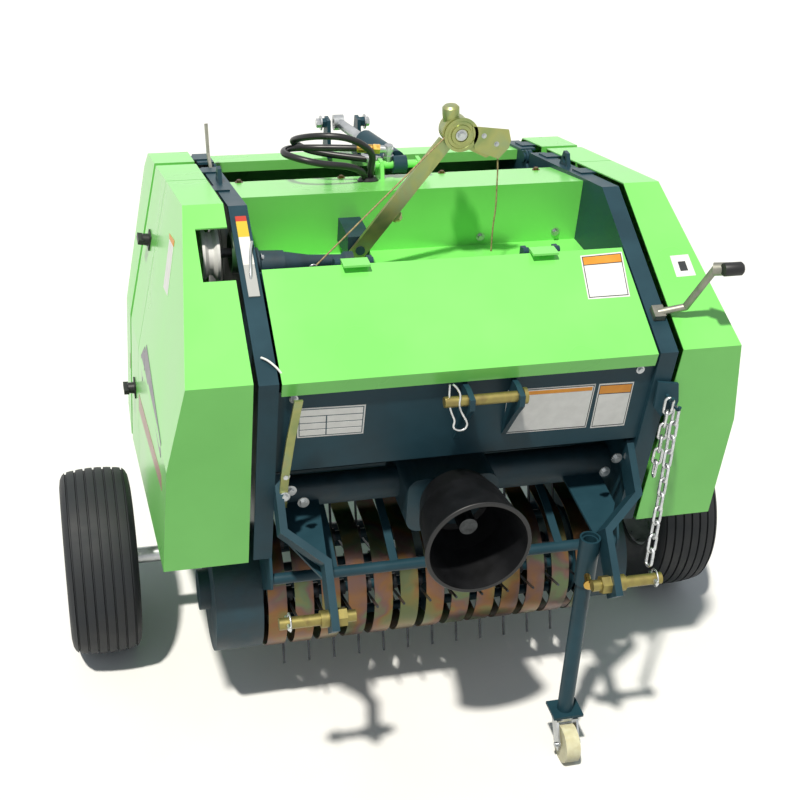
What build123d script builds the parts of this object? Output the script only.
from build123d import *
import os
from math import atan2, cos, degrees, hypot, pi, radians, sin, tan

# Small three-point round baler with a drum pick-up, parked on its two tyres and a jack caster.
# Millimetres. X is to the right seen from the front, Y runs backwards, Z is up, and the floor
# is z = 0. The machine is parked nose up, so its top edges fall towards the back.
# Lengths along Y are counted from the top front corner of the side plates while modelling.

# Chamber and side plates
CHAMBER_HALF = 350.0        # half the width between the side plates, a 700 mm bale
PLATE = 5.0                 # side plate thickness
BAND = 35.0                 # width of the flange that is turned out along the front and top
TOP_Z = 1085.0              # top front corner of the side plates
TOP_FALL = 0.2133           # fall of the top edges for each mm backwards
NOSE = (-355.0, 908.0)      # corner where the sloping front turns down
CHIN = (-286.0, 486.0)      # lower end of the straight front
CHAMBER_Y = 250.0           # middle of the bale chamber
CHAMBER_Z = 655.0
ROLLER_RING = 295.0         # radius of the circle that the roller axes stand on
ROLLER_R = 38.0
ROLLER_RIBS = 8
RIB_HEIGHT = 4.0
ROLLER_WALL = 4.0
ROLLER_GAP = 4.0            # end gap of each roller tube beside the side plates
FRONT_ROLLERS = (209, 176, 143, 110, 77, 246)
GATE_ROLLERS = (44, 11, -22, -55, -88)

# Tailgate
HINGE_Y = 445.0             # tailgate pivot
HINGE_Z = 975.0
HINGE_PIN_R = 10.0
PIN_FIT = 0.3               # radial clearance of a turning pin
GATE_CUT = 10.0             # gap between the fixed and the swinging side plate
GATE_BACK = 655.0           # rearmost line of the tailgate

# Side covers
COVER_LIFT = 6.0            # covers stand this much above the flanges
COVER_SHEET = 2.5
REST_LONG = 50.0

# Pick-up
REEL_SHAFT_R = 17.5
REEL_Y = -100.0
REEL_Z = 280.0
TINE_TIP_R = 190.0
STRIPPER_R = 130.0
TINE_PITCH = 54.5
TINE_COUNT = 12
TINE_WIRE = 5.5
BAND_WIDTH = 38.0
STRIPPER_SHEET = 2.5
TINE_BARS = 4
TINE_BAR_RING = 84.0

# Wheels and axle
AXLE_Y = 138.0
TYRE_R = 203.0
TYRE_WIDTH = 165.0
TRACK_HALF = 659.0
RIM_R = 104.0
STUB_R = 17.5

# Jack
JACK_X = 243.0
JACK_Y = -402.0
LEG_R = 16.0
SLEEVE_WALL = 4.0
CASTER_R = 39.0
CASTER_TRAIL = 35.0

# Crop guard bar in front of the pick-up, (y, z)
GUARD_BAR = (-290.0, 438.0)

# Hitch and drive
HITCH_PIN_Y = -470.0
HITCH_PIN_Z = 480.0
PTO_Y = -190.0
PTO_Z = 590.0
PTO_SHAFT_R = 17.45
TUBE_Z = 568.0              # drive tubes from the gearbox to the side plates
TUBE_R_LEFT = 31.0
TUBE_R_RIGHT = 36.0

os.makedirs("parts", exist_ok=True)
parts = {}


def group(shapes):
    """One compound of all the solids of several shapes."""
    solids = []
    for shape in shapes:
        solids += list(shape.solids())
    return Compound(solids)


def top_z(y):
    """Height of the top edge at a distance y behind the top front corner."""
    return TOP_Z - TOP_FALL * y


def front_y(z):
    """Place along Y of the straight front at a height z."""
    share = (NOSE[1] - z) / (NOSE[1] - CHIN[1])
    return NOSE[0] + share * (CHIN[0] - NOSE[0])


def box(x0, x1, y0, y1, z0, z1):
    """Block between two corners."""
    middle = Pos((x0 + x1) / 2, (y0 + y1) / 2, (z0 + z1) / 2)
    return middle * Box(abs(x1 - x0), abs(y1 - y0), abs(z1 - z0))


def side_sheet(points, x0, x1):
    """Solid with the outline (y, z) in the side view, from x0 to x1."""
    face = make_face(Plane.YZ * Polyline(*points, close=True))
    return Pos(x0, 0, 0) * extrude(face, amount=x1 - x0, dir=(1, 0, 0))


def front_sheet(points, y0, y1):
    """Solid with the outline (x, z) in the front view, from y0 to y1."""
    line = Polyline(*[(x, 0, z) for x, z in points], close=True)
    return Pos(0, y0, 0) * extrude(make_face(line), amount=y1 - y0, dir=(0, 1, 0))


def bar(start, end, radius, sides=0):
    """Round bar between two points, or one with flat sides."""
    start = Vector(*start)
    way = Vector(*end) - start
    plane = Plane(origin=start, z_dir=way)
    section = RegularPolygon(radius, sides) if sides else Circle(radius)
    return extrude(plane * section, amount=way.length)


def tube(start, end, outer, inner):
    """Round tube between two points."""
    start = Vector(*start)
    way = Vector(*end) - start
    plane = Plane(origin=start, z_dir=way)
    return extrude(plane * (Circle(outer) - Circle(inner)), amount=way.length)


def strip_outline(points, thick):
    """Outline of a bent strip: the points on one side, and their offsets to the left."""
    normals = []
    for (a, b), (c, d) in zip(points, points[1:]):
        length = hypot(c - a, d - b)
        normals.append((-(d - b) / length, (c - a) / length))
    other = []
    for index, (a, b) in enumerate(points):
        before = normals[max(index - 1, 0)]
        after = normals[min(index, len(normals) - 1)]
        scale = thick / (1 + before[0] * after[0] + before[1] * after[1])
        other.append((a + scale * (before[0] + after[0]), b + scale * (before[1] + after[1])))
    return points + other[::-1]


def bent_sheet(points, thick, x0, x1):
    """Bent sheet with the bend line (y, z) in the side view, from x0 to x1."""
    return side_sheet(strip_outline(points, thick), x0, x1)


def mirrored(shape):
    """The same shape on the other side of the machine."""
    return mirror(shape, about=Plane.YZ)


def ring_point(angle, radius=ROLLER_RING):
    """Point (y, z) on a circle about the middle of the chamber, 0 degrees backwards."""
    return (CHAMBER_Y + radius * cos(radians(angle)), CHAMBER_Z + radius * sin(radians(angle)))


# Side plates: flat sheet with a flange turned out along the top, the slope and the front,
# a leg to the axle, a lobe to the pick-up shaft and an ear for the tailgate pivot
SPLIT_TOP = (415.0, 955.0)
SPLIT_BEND = (325.0, 858.0)
SPLIT_FOOT = (190.0, 328.0)
LEG_BELOW = 38.0            # side plate below the axle middle
REEL_LOBE = 62.0
EAR_R = 16.0
EAR_FREE = 1.5              # side gap between the ear and the swinging plate
EAR_THICK = 8.0


def cover_rest(y):
    """Flat tab on the top flange, which carries a side cover."""
    low = [(y, top_z(y)), (y + REST_LONG, top_z(y + REST_LONG))]
    high = [(place, z + COVER_LIFT - COVER_SHEET / cos(atan2(TOP_FALL, 1)) - 0.2) for place, z in low]
    return side_sheet(low + high[::-1], CHAMBER_HALF + 12, CHAMBER_HALF + 78)


def side_plate():
    outline = [
        (0.0, TOP_Z),
        NOSE,
        CHIN,
        (GUARD_BAR[0] - 14, GUARD_BAR[1] + 10),
        (GUARD_BAR[0] - 14, GUARD_BAR[1] - 14),
        (REEL_Y - 1.6 * REEL_LOBE, REEL_Z + REEL_LOBE),
        (REEL_Y - REEL_LOBE, REEL_Z - REEL_LOBE),
        (REEL_Y + REEL_LOBE, REEL_Z - REEL_LOBE),
        (AXLE_Y - 55, TYRE_R - LEG_BELOW),
        (AXLE_Y + 55, TYRE_R - LEG_BELOW),
        SPLIT_FOOT,
        SPLIT_BEND,
        SPLIT_TOP,
        (SPLIT_TOP[0], top_z(SPLIT_TOP[0])),
    ]
    plate = side_sheet(outline, CHAMBER_HALF, CHAMBER_HALF + PLATE)
    edge = [CHIN, NOSE, (0.0, TOP_Z), (SPLIT_TOP[0], top_z(SPLIT_TOP[0]))]
    flange = bent_sheet(edge, -PLATE, CHAMBER_HALF, CHAMBER_HALF + BAND)
    ear_x = CHAMBER_HALF + PLATE + EAR_FREE
    ear = box(ear_x, ear_x + EAR_THICK, SPLIT_TOP[0] - 30, HINGE_Y, HINGE_Z - EAR_R, HINGE_Z + 10)
    ear += bar((ear_x, HINGE_Y, HINGE_Z), (ear_x + EAR_THICK, HINGE_Y, HINGE_Z), EAR_R)
    foot = box(ear_x - EAR_FREE, ear_x, SPLIT_TOP[0] - 30, SPLIT_TOP[0], HINGE_Z - EAR_R, HINGE_Z + 10)
    pin = bar((CHAMBER_HALF - 4, HINGE_Y, HINGE_Z), (ear_x, HINGE_Y, HINGE_Z), HINGE_PIN_R)
    eye = side_sheet([(225, top_z(225)), (238, 1062), (256, 1062), (272, top_z(272))],
                     CHAMBER_HALF + 15, CHAMBER_HALF + 23)
    eye -= bar((CHAMBER_HALF + 10, 247, 1046), (CHAMBER_HALF + 30, 247, 1046), 7)
    shaft_hole = bar((CHAMBER_HALF - 1, REEL_Y, REEL_Z), (CHAMBER_HALF + PLATE + 1, REEL_Y, REEL_Z),
                     REEL_SHAFT_R + PIN_FIT)
    for y in (140, 340):
        plate += cover_rest(y)
    return plate + flange + ear + foot + pin + eye - shaft_hole


parts["side_plate_right"] = side_plate()
parts["side_plate_left"] = mirrored(side_plate())

# Twine box: an open-topped tray behind the lid, whose front wall is the dark front panel
LID_HINGE_Y = -130.0
LID_HINGE_Z = 1020.0
BOX_SHEET = 3.0
BOX_FLOOR_Z = 700.0
PANEL_SET_BACK = 9.0


def front_panel():
    top = 884.0
    line = [
        (LID_HINGE_Y + 12, LID_HINGE_Z - 16),
        (LID_HINGE_Y + 2, BOX_FLOOR_Z + 60),
        (front_y(BOX_FLOOR_Z) + PANEL_SET_BACK, BOX_FLOOR_Z),
        (front_y(top) + PANEL_SET_BACK, top),
    ]
    return bent_sheet(line, -BOX_SHEET, -CHAMBER_HALF, CHAMBER_HALF)


parts["front_panel"] = front_panel()

# Crop wall: green sheet across the machine, bent back at its top into a sloping shelf
WALL_Y = 96.0
WALL_TOP_Z = 1059.0
SHELF_END_Y = 285.0
WALL_SHEET = 3.0


def crop_wall():
    shelf_end = WALL_TOP_Z - (SHELF_END_Y - WALL_Y) * 0.24
    line = [(LID_HINGE_Y + 20, 930), (105, 927), (WALL_Y, WALL_TOP_Z), (SHELF_END_Y, shelf_end)]
    wall = bent_sheet(line, -WALL_SHEET, -CHAMBER_HALF, CHAMBER_HALF)
    lugs = []
    for side in (-1, 1):
        x = CYL_BASE[0] + side * 40
        lug = side_sheet([(CYL_BASE[1] - 26, shelf_z(CYL_BASE[1] - 26)), (CYL_BASE[1] - 14, CYL_BASE[2] + 12),
                          (CYL_BASE[1] + 12, CYL_BASE[2] + 12), (CYL_BASE[1] + 26, shelf_z(CYL_BASE[1] + 26))],
                         x - 4, x + 4)
        lugs.append(lug)
    pin = bar((CYL_BASE[0] - 54, *CYL_BASE[1:]), (CYL_BASE[0] + 54, *CYL_BASE[1:]), 8)
    return wall + lugs + pin


def wall_y(z):
    """Front face of the crop wall at a height z."""
    return 105 + (z - 927) / (WALL_TOP_Z - 927) * (WALL_Y - 105)


def shelf_z(y):
    """Top of the shelf at a place along Y."""
    return WALL_TOP_Z - (y - WALL_Y) * 0.24


# Tailgate cylinder: from the shelf to the lugs on the tailgate
CYL_BASE = (4.0, 252.0, 1050.0)
CYL_EYE = (-68.0, 520.0, 1046.0)
CYL_R = 23.0
CYL_ROD_R = 11.0
CYL_BODY = 152.0
parts["crop_wall"] = crop_wall()
cyl_start = Vector(*CYL_BASE)
cyl_way = (Vector(*CYL_EYE) - cyl_start).normalized()
cyl_length = (Vector(*CYL_EYE) - cyl_start).length


def along(distance):
    """Point on the cylinder's axis."""
    return tuple(cyl_start + cyl_way * distance)


barrel = bar(along(16.5), along(CYL_BODY), CYL_R)
barrel += bar((CYL_BASE[0] - 14, *CYL_BASE[1:]), (CYL_BASE[0] + 14, *CYL_BASE[1:]), 18)
barrel -= bar((CYL_BASE[0] - 15, *CYL_BASE[1:]), (CYL_BASE[0] + 15, *CYL_BASE[1:]), 8 + PIN_FIT)
barrel -= bar(along(18), along(CYL_BODY + 1), CYL_ROD_R + PIN_FIT)
parts["cylinder_barrel"] = barrel
rod = bar(along(112), along(cyl_length - 12), CYL_ROD_R)
rod += bar((CYL_EYE[0] - 11, *CYL_EYE[1:]), (CYL_EYE[0] + 11, *CYL_EYE[1:]), 17)
rod -= bar((CYL_EYE[0] - 12, *CYL_EYE[1:]), (CYL_EYE[0] + 12, *CYL_EYE[1:]), 8)
parts["cylinder_rod"] = rod

# Lid of the twine box: green sheet hinged along its upper edge, with a lip over the panel
LID_HALF = 345.0
LID_SHEET = 3.0


def lid():
    slope = (NOSE[0] - LID_HINGE_Y, NOSE[1] - LID_HINGE_Z)
    line = [(LID_HINGE_Y - 8, LID_HINGE_Z + slope[1] * 8 / -slope[0] + 3), (NOSE[0] - 2, NOSE[1]), (-350, 880)]
    sheet = bent_sheet(line, LID_SHEET, -LID_HALF, LID_HALF)
    knuckles = []
    for x in (-175, 185):
        knuckle = bar((x - 25, LID_HINGE_Y, LID_HINGE_Z), (x + 25, LID_HINGE_Y, LID_HINGE_Z), 7)
        knuckle += box(x - 25, x + 25, LID_HINGE_Y - 30, LID_HINGE_Y, LID_HINGE_Z + 3, LID_HINGE_Z + 7)
        knuckles.append(knuckle)
    return sheet + knuckles


parts["lid"] = lid()
hinge_mount = []
for x in (-175, 185):
    for side in (-1, 1):
        near = x + side * 26
        far = x + side * 36
        hinge_mount.append(bar((near, LID_HINGE_Y, LID_HINGE_Z), (far, LID_HINGE_Y, LID_HINGE_Z), 7))
        hinge_mount.append(box(near, far, LID_HINGE_Y, LID_HINGE_Y + 16, LID_HINGE_Z - 24, LID_HINGE_Z + 4))
parts["front_panel"] += hinge_mount

# Top link bracket and pin
LINK_PIN_Y = -378.0
LINK_PIN_Z = 858.0
bracket = []
for x in (-20.0, 72.0):
    cheek = side_sheet([(front_y(873) + 9, 873), (-366, 874), (-396, 868), (-396, 846), (-372, 816),
                        (front_y(740) + 9, 740)], x, x + 10)
    bracket.append(cheek - bar((x - 1, LINK_PIN_Y, LINK_PIN_Z), (x + 11, LINK_PIN_Y, LINK_PIN_Z), 10.3))
parts["top_link_bracket"] = Part() + bracket
link_pin = bar((-62, LINK_PIN_Y, LINK_PIN_Z), (92, LINK_PIN_Y, LINK_PIN_Z), 10)
link_pin += bar((83, LINK_PIN_Y, LINK_PIN_Z), (90, LINK_PIN_Y, LINK_PIN_Z), 15)
parts["top_link_pin"] = link_pin

# Rollers: ribbed steel tubes with a shaft in each side plate


def roller(angle):
    y, z = ring_point(angle)
    half = CHAMBER_HALF - ROLLER_GAP
    section = Circle(ROLLER_R - RIB_HEIGHT)
    for index in range(ROLLER_RIBS):
        turn = 360 / ROLLER_RIBS * index
        section += Rot(0, 0, turn) * Pos(ROLLER_R - RIB_HEIGHT, 0) * Rectangle(2 * RIB_HEIGHT, 6)
    body = extrude(Plane(origin=(-half, y, z), z_dir=(1, 0, 0)) * section, amount=2 * half)
    inner = ROLLER_R - RIB_HEIGHT - ROLLER_WALL
    body -= bar((-half + ROLLER_WALL, y, z), (half - ROLLER_WALL, y, z), inner)
    body -= bar((half - ROLLER_WALL - 1, y, z + inner / 2), (half + 1, y, z + inner / 2), 3)
    for side in (-1, 1):
        body += bar((side * (half - ROLLER_WALL), y, z), (side * CHAMBER_HALF, y, z), 15, 8)
    return body


parts["front_rollers"] = group([roller(angle) for angle in FRONT_ROLLERS])
parts["gate_rollers"] = group([roller(angle) for angle in GATE_ROLLERS])

# Tailgate side plates, skin and cylinder lugs
GATE_SHEET = 2.5


def gate_plate():
    outline = [
        (HINGE_Y + 10, HINGE_Z + 9),
        (HINGE_Y + 15, top_z(HINGE_Y + 15) - 3),
        (590, top_z(590)),
        (GATE_BACK - 8, 872),
        (GATE_BACK, 560),
        (560, 346),
        (SPLIT_FOOT[0] + GATE_CUT, SPLIT_FOOT[1]),
        (SPLIT_BEND[0] + GATE_CUT, SPLIT_BEND[1] - 4),
        (HINGE_Y - 14, HINGE_Z - 12),
    ]
    plate = side_sheet(outline, CHAMBER_HALF, CHAMBER_HALF + PLATE)
    plate += bar((CHAMBER_HALF, HINGE_Y, HINGE_Z), (CHAMBER_HALF + PLATE, HINGE_Y, HINGE_Z), EAR_R)
    edge = [(HINGE_Y + 30, top_z(HINGE_Y + 30)), (590, top_z(590)), (GATE_BACK - 8, 872)]
    plate += bent_sheet(edge, -PLATE, CHAMBER_HALF, CHAMBER_HALF + BAND)
    plate += cover_rest(500)
    return plate - bar((CHAMBER_HALF - 1, HINGE_Y, HINGE_Z), (CHAMBER_HALF + PLATE + 1, HINGE_Y, HINGE_Z),
                       HINGE_PIN_R + PIN_FIT)


parts["gate_plates"] = group([gate_plate(), mirrored(gate_plate())])


def gate_sheet():
    line = [(497, 950), (497, top_z(497) - 6), (588, top_z(588) - 6), (GATE_BACK - 15, 868),
            (GATE_BACK - 8, 562), (556, 352), (320, 318)]
    return bent_sheet(line, -GATE_SHEET, -CHAMBER_HALF, CHAMBER_HALF)


parts["gate_sheet"] = gate_sheet()
lugs = []
for side in (-1, 1):
    x = -58 + side * 34
    base = top_z(520) - 6
    lug = side_sheet([(490, top_z(490) - 6), (504, 1056), (536, 1056), (552, top_z(552) - 6)], x - 4, x + 4)
    lug += bar((x, *CYL_EYE[1:]), (x + side * 14, *CYL_EYE[1:]), 11, 6)
    lugs.append(lug)
parts["gate_lugs"] = Compound(children=lugs)

# Side covers: green sheet boxes, open on the machine's side
COVER_IN = 394.0
COVER_TOP_X = 468.0         # outer face at the top front corner
COVER_LEAN = 0.1916         # outer face leans out this much for each mm down
COVER_BEND_Z = 731.0
COVER_LOW_LEAN = 0.0388
DOOR_END = 246.0
MIDDLE_END = 429.0


def cover_cut(shape):
    """Trim a cover block with its leaning outer faces."""
    high = Plane(origin=(COVER_TOP_X, 0, 1094), z_dir=(1, 0.0181, COVER_LEAN))
    bend_x = COVER_TOP_X + COVER_LEAN * (1094 - COVER_BEND_Z) + 6
    low = Plane(origin=(bend_x, -322, COVER_BEND_Z), z_dir=(1, 0, COVER_LOW_LEAN))
    shape = split(shape, bisect_by=high, keep=Keep.BOTTOM)
    return split(shape, bisect_by=low, keep=Keep.BOTTOM)


def low_edge(y):
    """Lower edge of the covers."""
    return CHIN[1] - 8 - TOP_FALL * (y - CHIN[0])


def cover_box(outline, shut=()):
    """Hollow cover: the block of the outline, trimmed and emptied from the machine's side."""
    block = cover_cut(side_sheet(outline, COVER_IN, COVER_IN + 180))
    inner = block.faces().sort_by(Axis.X)[0]
    return offset(block, amount=-COVER_SHEET, openings=[inner])


front_outline = [(0, TOP_Z + COVER_LIFT), (NOSE[0] - 1, NOSE[1] + 4), (CHIN[0] + 2, CHIN[1] - 6),
                 (DOOR_END, low_edge(DOOR_END)), (DOOR_END, top_z(DOOR_END) + COVER_LIFT)]
middle_outline = [(DOOR_END + 3, top_z(DOOR_END + 3) + COVER_LIFT), (DOOR_END + 3, low_edge(DOOR_END + 3)),
                  (MIDDLE_END, low_edge(MIDDLE_END)), (MIDDLE_END, top_z(MIDDLE_END) + COVER_LIFT)]
parts["front_cover_right"] = cover_box(front_outline)
parts["front_cover_left"] = mirrored(cover_box(front_outline))
middle = cover_box(middle_outline)
parts["middle_covers"] = group([middle, mirrored(middle)])
gate_cover_start = HINGE_Y + 12
gate_outline = [(gate_cover_start, top_z(gate_cover_start) + COVER_LIFT), (gate_cover_start, low_edge(gate_cover_start)),
                (560, 352), (GATE_BACK + 5, 560), (GATE_BACK - 3, 872), (590, top_z(590) + COVER_LIFT)]


def gate_cover():
    block = cover_cut(side_sheet(gate_outline, COVER_IN, COVER_IN + 180))
    rear = Plane(origin=(500, MIDDLE_END + 60, 800), z_dir=(0.5, 0.87, 0))
    rear = Plane(origin=(548, 560, 700), z_dir=(0.7, 0.714, 0))
    block = split(block, bisect_by=rear, keep=Keep.BOTTOM)
    inner = block.faces().sort_by(Axis.X)[0]
    return offset(block, amount=-COVER_SHEET, openings=[inner])


parts["gate_covers"] = group([gate_cover(), mirrored(gate_cover())])

# Gearbox with the two drive tubes to the side plates, and the guard of its input shaft
gear = box(-88, 92, PTO_Y - 90, PTO_Y + 85, PTO_Z - 82, PTO_Z + 38)
gear = fillet(gear.edges().filter_by(Axis.Y), 26)
gear += bar((-CHAMBER_HALF, PTO_Y, TUBE_Z), (-80, PTO_Y, TUBE_Z), TUBE_R_LEFT)
gear += bar((80, PTO_Y, TUBE_Z), (CHAMBER_HALF, PTO_Y, TUBE_Z), TUBE_R_RIGHT)
gear += bar((0, PTO_Y - 118, PTO_Z), (0, PTO_Y - 80, PTO_Z), 52)
gear -= bar((0, PTO_Y - 125, PTO_Z), (0, PTO_Y + 10, PTO_Z), PTO_SHAFT_R + 6 + PIN_FIT)
parts["gearbox"] = gear
GUARD_BACK = PTO_Y - 112
GUARD_FRONT = -458.0
guard_line = Polyline((52.5, GUARD_BACK), (70, GUARD_BACK), (84, GUARD_BACK - 50), (96, GUARD_FRONT + 6),
                      (99, GUARD_FRONT), (93, GUARD_FRONT), (80, GUARD_BACK - 50), (66, GUARD_BACK - 6),
                      (52.5, GUARD_BACK - 6), close=True)
guard = revolve(make_face(guard_line), axis=Axis.Y)
parts["pto_guard"] = Pos(0, 0, PTO_Z) * guard
shaft = bar((0, PTO_Y, PTO_Z), (0, PTO_Y - 122, PTO_Z), PTO_SHAFT_R + 6)
shaft += bar((0, PTO_Y - 122, PTO_Z), (0, PTO_Y - 200, PTO_Z), PTO_SHAFT_R)
parts["pto_shaft"] = shaft

# Hitch arms: flat bars that slope forwards and jog inwards, with gussets and lower pins
ARM_TOP = (-300.0, 655.0)
arm_way = Vector(0, HITCH_PIN_Y - ARM_TOP[0], HITCH_PIN_Z - ARM_TOP[1])
arm_run = arm_way.length
arm_plane = Plane(origin=(0, *ARM_TOP), x_dir=(1, 0, 0), z_dir=Vector(1, 0, 0).cross(arm_way))
ARM_THICK = 14.0
ARM_WIDTH = 50.0


def hitch_arm():
    low_x = JACK_X + LEG_R + SLEEVE_WALL + 2 * PIN_FIT + ARM_THICK
    line = [(CHAMBER_HALF, -22), (CHAMBER_HALF, 85), (low_x, 148), (low_x, arm_run + 26)]
    outline = strip_outline(line, ARM_THICK)
    face = make_face(arm_plane * Polyline(*outline, close=True))
    arm = extrude(face, amount=ARM_WIDTH / 2, both=True)
    arm -= bar((250, HITCH_PIN_Y, HITCH_PIN_Z), (300, HITCH_PIN_Y, HITCH_PIN_Z), 11.2)
    return arm


def hitch_gusset(arm, tube_r):
    """Brace from the drive tube to the elbow of the arm."""
    way = Vector(0, -203.4, -45.3)
    plane = Plane(origin=(0, PTO_Y, TUBE_Z), x_dir=(1, 0, 0), z_dir=Vector(1, 0, 0).cross(way))
    outline = Polyline((248, tube_r - 6), (326, tube_r - 6), (330, 120), (277, 222), (264, 222), close=True)
    plate = extrude(make_face(plane * outline), amount=3, both=True)
    plate -= bar((240, PTO_Y, TUBE_Z), (340, PTO_Y, TUBE_Z), tube_r + 0.1)
    return (plate - arm).solids().sort_by(SortBy.VOLUME)[-1]


arm = hitch_arm()
gusset_right = hitch_gusset(arm, TUBE_R_RIGHT)
gusset_left = hitch_gusset(arm, TUBE_R_LEFT)
parts["hitch_arms"] = group([arm, gusset_right, mirrored(arm), mirrored(gusset_left)])
pins = []
for side in (-1, 1):
    pin = bar((side * 228, HITCH_PIN_Y, HITCH_PIN_Z), (side * 368, HITCH_PIN_Y, HITCH_PIN_Z), 11)
    pin += bar((side * 245, HITCH_PIN_Y, HITCH_PIN_Z), (side * 263.4, HITCH_PIN_Y, HITCH_PIN_Z), 18, 6)
    pin += bar((side * 277.8, HITCH_PIN_Y, HITCH_PIN_Z), (side * 293, HITCH_PIN_Y, HITCH_PIN_Z), 16)
    pins.append(pin)
parts["hitch_pins"] = Compound(children=pins)

# Crop guard: a bar across the front of the pick-up with flat fingers that hold the crop down
guard_bar = bar((-CHAMBER_HALF, GUARD_BAR[0], GUARD_BAR[1]), (CHAMBER_HALF, GUARD_BAR[0], GUARD_BAR[1]), 11)
for x in (-230, -110, 10, 130, 230):
    finger = [(GUARD_BAR[0], GUARD_BAR[1] + 6), (-200, 481), (-128, 500), (-128, 504), (-202, 485), (GUARD_BAR[0], GUARD_BAR[1] + 10)]
    guard_bar += side_sheet(finger, x - 8, x + 8)
parts["crop_guard"] = guard_bar

# Jack: sleeve, sliding leg with its plate, swivel fork and wheel
SLEEVE_IN = LEG_R + PIN_FIT
parts["jack_sleeve"] = tube((JACK_X, JACK_Y, 436), (JACK_X, JACK_Y, 542), SLEEVE_IN + SLEEVE_WALL, SLEEVE_IN)
PLATE_Z = 2 * CASTER_R + 20
leg = tube((JACK_X, JACK_Y, PLATE_Z + 6), (JACK_X, JACK_Y, 536), LEG_R, LEG_R - 3)
leg += box(JACK_X - 32, JACK_X + 32, JACK_Y - 26, JACK_Y + 26, PLATE_Z, PLATE_Z + 6)
parts["jack_leg"] = leg
WHEEL_Y = JACK_Y - CASTER_TRAIL
fork = bar((JACK_X, JACK_Y, PLATE_Z - 8), (JACK_X, JACK_Y, PLATE_Z - 0.5), 24)
for side in (-1, 1):
    x = JACK_X + side * 21
    cheek = side_sheet([(JACK_Y + 16, PLATE_Z - 8), (JACK_Y - 20, PLATE_Z - 8), (WHEEL_Y - 12, CASTER_R + 8),
                        (WHEEL_Y - 9, CASTER_R - 10), (WHEEL_Y + 9, CASTER_R - 10)], x - 2, x + 2)
    fork += cheek
fork += box(JACK_X - 23, JACK_X + 23, JACK_Y - 22, JACK_Y + 16, PLATE_Z - 11, PLATE_Z - 8)
fork += bar((JACK_X - 28, WHEEL_Y, CASTER_R), (JACK_X + 28, WHEEL_Y, CASTER_R), 5)
parts["caster_fork"] = fork
parts["caster_wheel"] = tube((JACK_X - 15, WHEEL_Y, CASTER_R), (JACK_X + 15, WHEEL_Y, CASTER_R), CASTER_R,
                             5 + PIN_FIT)

# Pick-up strippers: plated bands round the reel, with the tines passing between them
STRIPPER_BACK = 76.0


def stripper_bands():
    bands = []
    for index in range(TINE_COUNT + 1):
        x = (index - TINE_COUNT / 2) * TINE_PITCH
        low = Line((STRIPPER_BACK, REEL_Z - STRIPPER_R), (REEL_Y, REEL_Z - STRIPPER_R))
        bow = ThreePointArc((REEL_Y, REEL_Z - STRIPPER_R), (REEL_Y - STRIPPER_R, REEL_Z),
                            (REEL_Y, REEL_Z + STRIPPER_R))
        high = Line((REEL_Y, REEL_Z + STRIPPER_R), (STRIPPER_BACK, REEL_Z + STRIPPER_R))
        inner = STRIPPER_R - STRIPPER_SHEET
        low_in = Line((STRIPPER_BACK, REEL_Z - inner), (REEL_Y, REEL_Z - inner))
        bow_in = ThreePointArc((REEL_Y, REEL_Z - inner), (REEL_Y - inner, REEL_Z), (REEL_Y, REEL_Z + inner))
        high_in = Line((REEL_Y, REEL_Z + inner), (STRIPPER_BACK, REEL_Z + inner))
        end_low = Line((STRIPPER_BACK, REEL_Z - STRIPPER_R), (STRIPPER_BACK, REEL_Z - inner))
        end_high = Line((STRIPPER_BACK, REEL_Z + STRIPPER_R), (STRIPPER_BACK, REEL_Z + inner))
        face = make_face(Plane.YZ * (low + bow + high + low_in + bow_in + high_in + end_low + end_high))
        start = max(x - BAND_WIDTH / 2, -CHAMBER_HALF)
        stop = min(x + BAND_WIDTH / 2, CHAMBER_HALF)
        bands.append(Pos(start, 0, 0) * extrude(face, amount=stop - start, dir=(1, 0, 0)))
    return bands


strippers = stripper_bands()
inner = STRIPPER_R - STRIPPER_SHEET
beam_low = box(-CHAMBER_HALF, CHAMBER_HALF, STRIPPER_BACK - 8, STRIPPER_BACK, REEL_Z - inner, REEL_Z - inner + 22)
beam_high = box(-CHAMBER_HALF, CHAMBER_HALF, STRIPPER_BACK - 8, STRIPPER_BACK, REEL_Z + inner - 22, REEL_Z + inner)
parts["pickup_strippers"] = strippers[0] + strippers[1:] + [beam_low, beam_high]

# Pick-up reel: shaft, end discs and tine bars, and the sprung tines on the bars
reel = bar((-CHAMBER_HALF - 30, REEL_Y, REEL_Z), (CHAMBER_HALF + 30, REEL_Y, REEL_Z), REEL_SHAFT_R)
for x in (-320.0, 0.0, 314.0):
    reel += bar((x, REEL_Y, REEL_Z), (x + 6, REEL_Y, REEL_Z), TINE_BAR_RING + 14)
tines = []
TINE_ANGLES = [250 + 360 / TINE_BARS * index for index in range(TINE_BARS)]
for angle in TINE_ANGLES:
    out = (cos(radians(angle)), sin(radians(angle)))
    side_way = (-out[1], out[0])
    y = REEL_Y + TINE_BAR_RING * out[0]
    z = REEL_Z + TINE_BAR_RING * out[1]
    reel += bar((-330, y, z), (330, y, z), 10)
    for index in range(TINE_COUNT):
        x = (index - (TINE_COUNT - 1) / 2) * TINE_PITCH
        coil = tube((x - 9, y, z), (x + 9, y, z), 10.2 + TINE_WIRE, 10.2)
        root = (x, y + 13.2 * side_way[0], z + 13.2 * side_way[1])
        reach = (TINE_TIP_R ** 2 - 13.2 ** 2) ** 0.5 - TINE_BAR_RING
        tip = (x, root[1] + reach * out[0], root[2] + reach * out[1])
        tines.append(coil + bar(root, tip, TINE_WIRE / 2, 6))
parts["pickup_reel"] = reel
parts["pickup_tines"] = Compound(children=tines)

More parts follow.
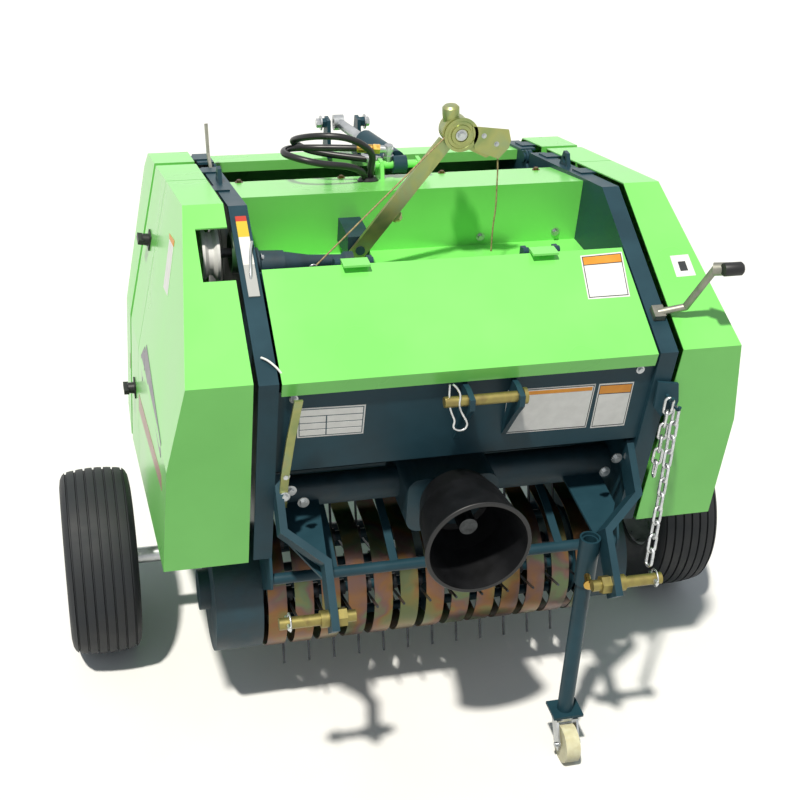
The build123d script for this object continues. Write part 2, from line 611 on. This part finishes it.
# Pick-up housings outside the side plates: the cam drum on the left, the drive case on the right
HOUSE_IN = CHAMBER_HALF + PLATE
cam = tube((-HOUSE_IN, REEL_Y, REEL_Z), (-450, REEL_Y, REEL_Z), 128, 120)
cam += tube((-446, REEL_Y, REEL_Z), (-450, REEL_Y, REEL_Z), 125, 40)
cam += tube((-440, REEL_Y, REEL_Z), (-472, REEL_Y, REEL_Z), 42, 0.5 + 17.5)
cam += bar((-466, REEL_Y, REEL_Z), (-472, REEL_Y, REEL_Z), 42)
parts["pickup_cam_housing"] = cam
drive = tube((HOUSE_IN, REEL_Y, REEL_Z), (430, REEL_Y, REEL_Z), 112, 106)
drive += bar((426, REEL_Y, REEL_Z), (430, REEL_Y, REEL_Z), 110)
parts["pickup_drive_housing"] = drive

# Axle: cross tube under the chamber and a stub out to each wheel
STUB_END = TRACK_HALF + 52
axle = bar((-CHAMBER_HALF, AXLE_Y, TYRE_R), (CHAMBER_HALF, AXLE_Y, TYRE_R), 28)
parts["axle_tube"] = axle
stubs = []
for side in (-1, 1):
    stub = bar((side * (CHAMBER_HALF + PLATE), AXLE_Y, TYRE_R), (side * STUB_END, AXLE_Y, TYRE_R), STUB_R)
    stub += bar((side * (CHAMBER_HALF + PLATE), AXLE_Y, TYRE_R), (side * (CHAMBER_HALF + PLATE + 12), AXLE_Y, TYRE_R), 34)
    stubs.append(stub)
parts["axle_stubs"] = Compound(children=stubs)


def wheel(side):
    half = TYRE_WIDTH / 2
    side_line = [(half - 34, RIM_R), (half - 4, RIM_R + 22), (half, RIM_R + 52), (half - 8, TYRE_R - 12),
                 (half - 24, TYRE_R - 2)]
    bead_line = [(half - 46, RIM_R), (half - 15, RIM_R + 27), (half - 12, RIM_R + 52), (half - 20, TYRE_R - 20),
                 (half - 30, TYRE_R - 14)]
    outer = side_line + [(0, TYRE_R)] + [(-x, r) for x, r in reversed(side_line)]
    inner = bead_line + [(0, TYRE_R - 12)] + [(-x, r) for x, r in reversed(bead_line)]
    tyre = revolve(make_face(Polyline(*outer, *reversed(inner), close=True)), axis=Axis.X)
    rim = tube((-half + 34, 0, 0), (half - 34, 0, 0), RIM_R, RIM_R - 5)
    rim += tube((side * 8, 0, 0), (side * 13, 0, 0), RIM_R - 3, 30)
    rim += tube((side * -45, 0, 0), (side * 45, 0, 0), 34, STUB_R + PIN_FIT)
    place = Pos(side * TRACK_HALF, AXLE_Y, TYRE_R)
    return place * tyre, place * rim


parts["tyre_left"], parts["rim_left"] = wheel(-1)
parts["tyre_right"], parts["rim_right"] = wheel(1)

# Twine arm on its gear case
ARM_FOOT = (-133.0, 0.0, 981.0)
ARM_HEAD = (40.0, 0.0, 1215.0)
case = side_sheet([(8, 955), (wall_y(955), 955), (wall_y(1005), 1005), (8, 1005)], -155, -111)
case += bar((ARM_FOOT[0], -6, ARM_FOOT[2]), (ARM_FOOT[0], 8, ARM_FOOT[2]), 9)
parts["twine_case"] = case
lean = atan2(ARM_HEAD[0] - ARM_FOOT[0], ARM_HEAD[2] - ARM_FOOT[2])
arm_plane_y = Plane(origin=(ARM_FOOT[0], 4, ARM_FOOT[2]), x_dir=(cos(lean), 0, -sin(lean)), z_dir=(0, -1, 0))
arm_length = hypot(ARM_HEAD[0] - ARM_FOOT[0], ARM_HEAD[2] - ARM_FOOT[2])
flat = Polyline((-15, -18), (15, -18), (15, arm_length - 28.2), (-15, arm_length - 28.2), close=True)
twine_arm = extrude(make_face(arm_plane_y * flat), amount=8)
twine_arm -= bar((ARM_FOOT[0], -10, ARM_FOOT[2]), (ARM_FOOT[0], 10, ARM_FOOT[2]), 9 + PIN_FIT)
parts["twine_arm"] = twine_arm
head = bar((ARM_HEAD[0], -14, ARM_HEAD[2]), (ARM_HEAD[0], 14, ARM_HEAD[2]), 28)
head += front_sheet([(60, 1222), (128, 1196), (134, 1172), (104, 1158), (48, 1186)], -3, 3)
parts["twine_head"] = head

# Small fixed pieces
SLOPE = (TOP_Z - NOSE[1]) / NOSE[0]
strip_face = Plane(origin=(-366, 0, TOP_Z), x_dir=(1, 0, 0), z_dir=(0, SLOPE, 1))
strip = extrude(strip_face * Pos(0, -119) * Rectangle(20, 183), amount=3)
parts["density_indicator"] = strip
pulley = tube((-405, 0, 991), (-445, 0, 991), 50, 9)
pulley += bar((-CHAMBER_HALF - PLATE, 0, 991), (-452, 0, 991), 9)
parts["twine_pulley"] = pulley
lever_foot = Plane(origin=(368, 0, TOP_Z), x_dir=(1, 0, 0), z_dir=(0, SLOPE, 1))
lever = extrude(lever_foot * Pos(0, -312) * Rectangle(22, 26), amount=14)
lever += bar((368, -283, 953), (416, -296, 968), 7)
lever += bar((414, -295, 966), (442, -330, 1060), 7) + bar((440, -328, 1058), (474, -352, 1068), 12)
parts["control_lever"] = lever

everything = group(parts.values())
size = everything.bounding_box()
middle_y = (size.min.Y + size.max.Y) / 2
print("middle y", round(middle_y, 3), "low", round(size.min.Z, 3), "x", round(size.min.X, 2), round(size.max.X, 2))
for name, shape in parts.items():
    export_step(Pos(0, -middle_y, 0) * group([shape]), "parts/" + name + ".step")
